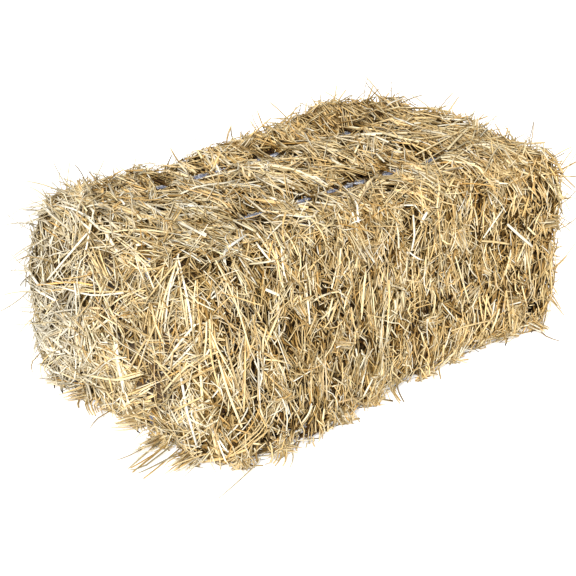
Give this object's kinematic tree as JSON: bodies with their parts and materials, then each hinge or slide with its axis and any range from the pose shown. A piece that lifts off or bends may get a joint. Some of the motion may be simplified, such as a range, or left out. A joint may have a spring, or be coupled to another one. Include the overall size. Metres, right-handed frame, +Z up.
{
  "type": "square straw bale",
  "caption": "Small rectangular bale of pressed straw flakes, tied lengthwise with two loops of knotted twine.",
  "frame": {"origin": "middle of the flat underside, on the ground", "axes": "+X along the bale, the way the flakes are stacked and the twine runs; +Y across it; +Z up"},
  "size_m": [1.0363, 0.6106, 0.4137],
  "materials": {
    "straw": "dry golden straw, satin stems",
    "twine": "slate blue split-film polypropylene"
  },
  "bodies": {
    "root": {"flake_01": "straw", "flake_02": "straw", "flake_03": "straw", "flake_04": "straw", "flake_05": "straw", "flake_06": "straw", "flake_07": "straw", "flake_08": "straw", "flake_09": "straw", "flake_10": "straw", "flake_11": "straw", "twine_1": "twine", "twine_2": "twine"}
  },
  "joints": []
}
